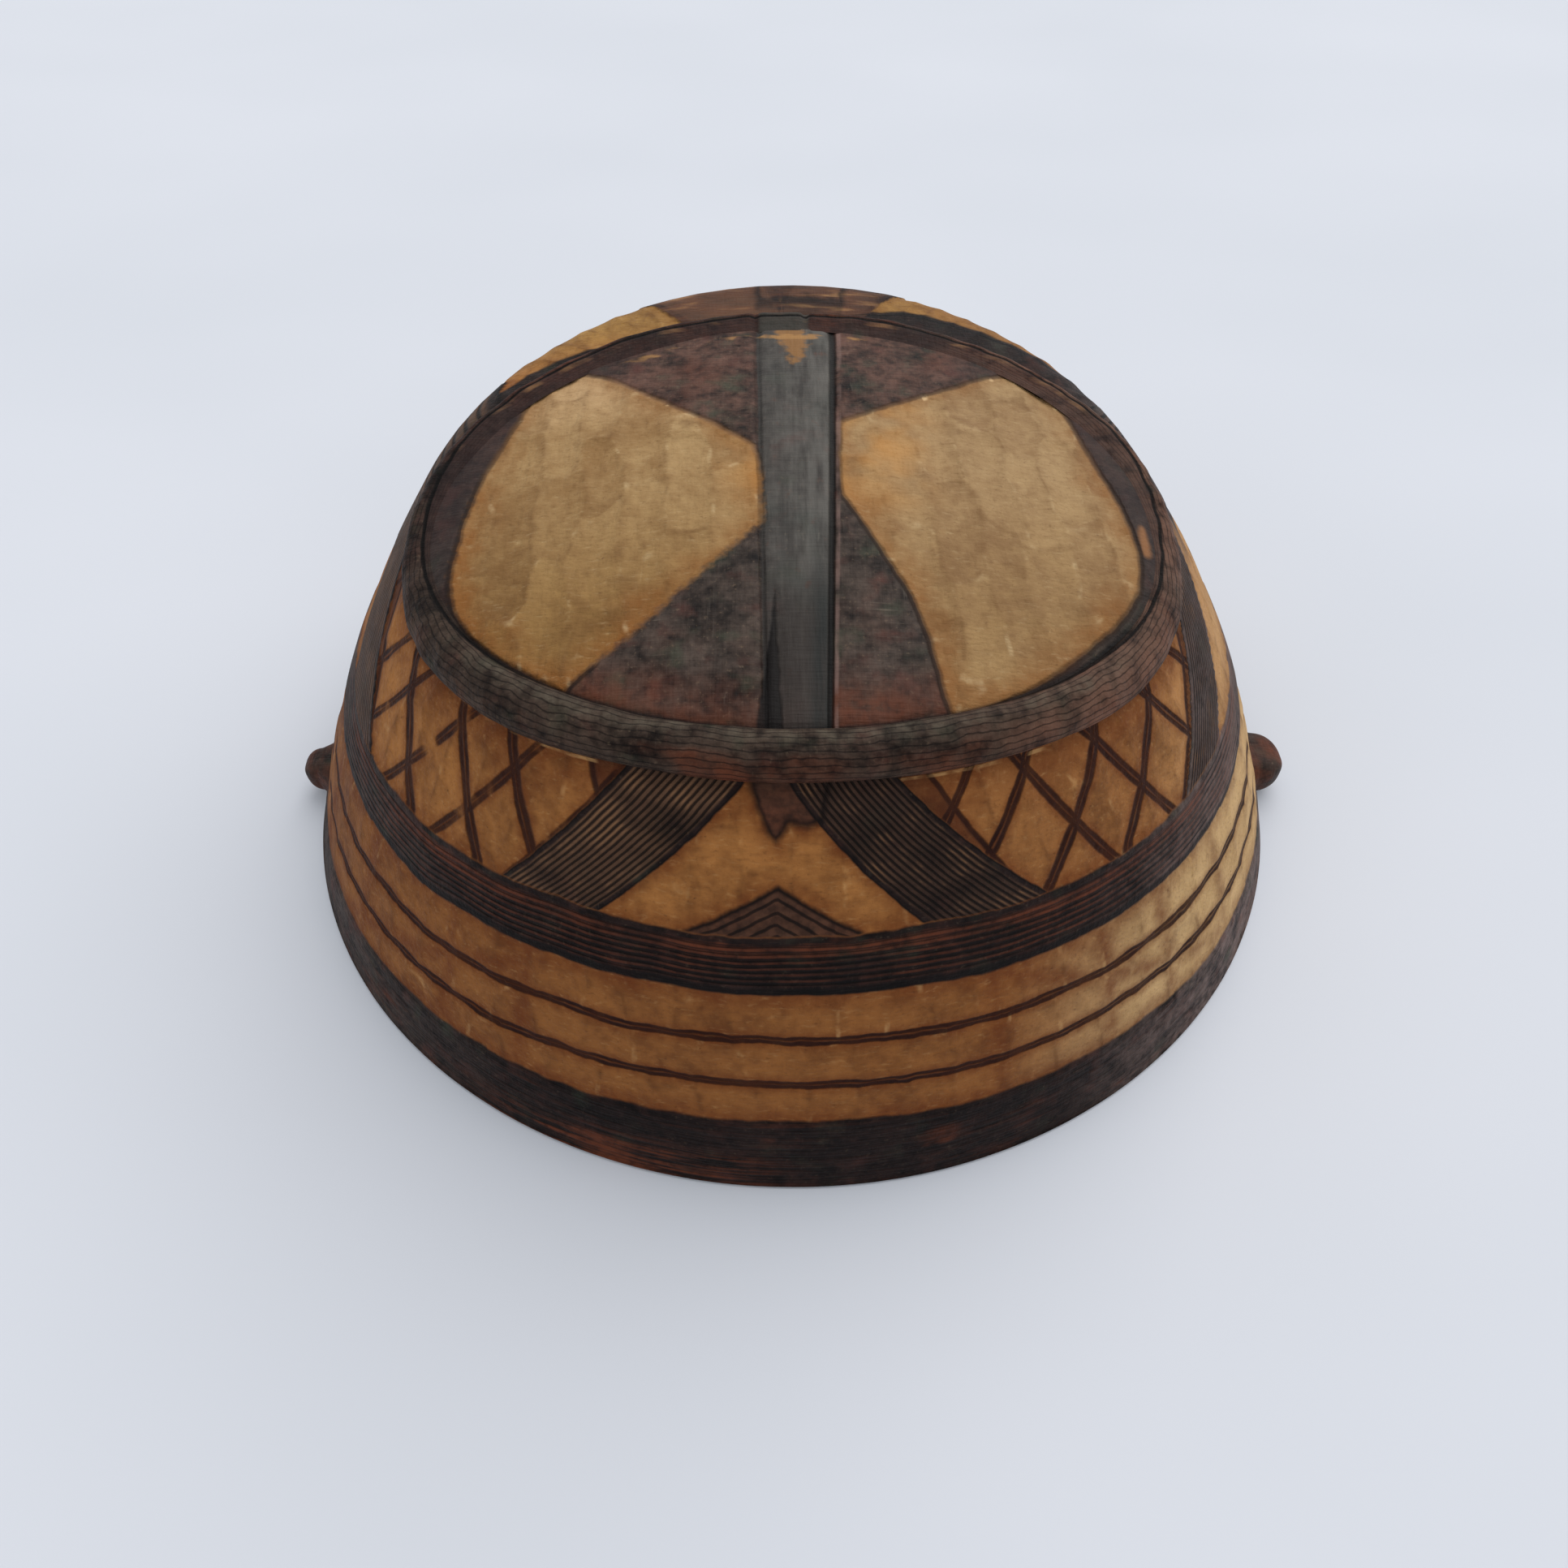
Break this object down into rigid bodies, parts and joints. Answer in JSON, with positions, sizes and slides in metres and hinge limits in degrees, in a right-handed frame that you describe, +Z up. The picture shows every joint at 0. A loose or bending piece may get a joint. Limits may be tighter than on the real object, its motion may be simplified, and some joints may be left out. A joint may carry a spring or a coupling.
{
  "type": "oval carved wooden bowl",
  "caption": "Oval hand-carved wooden bowl with a raised ring round its base, a lug at each end of the rim and burnt geometric bands, resting mouth down.",
  "frame": {"origin": "under the middle of the whole outline, in the plane that the rim rests on", "axes": "+Z up through the base of the turned-over bowl, +X along the long axis towards the round lug, -Y towards the pictured side"},
  "size_m": [0.2486, 0.2271, 0.0968],
  "materials": {
    "pale_wood": "hand-gouged, bare, satin",
    "burnt_wood": "burnt black, rubbed to a satin sheen"
  },
  "bodies": {
    "root": {"bowl_shell": "pale_wood", "base_ring": "burnt_wood", "left_lug": "burnt_wood", "right_lug": "burnt_wood"}
  },
  "joints": []
}
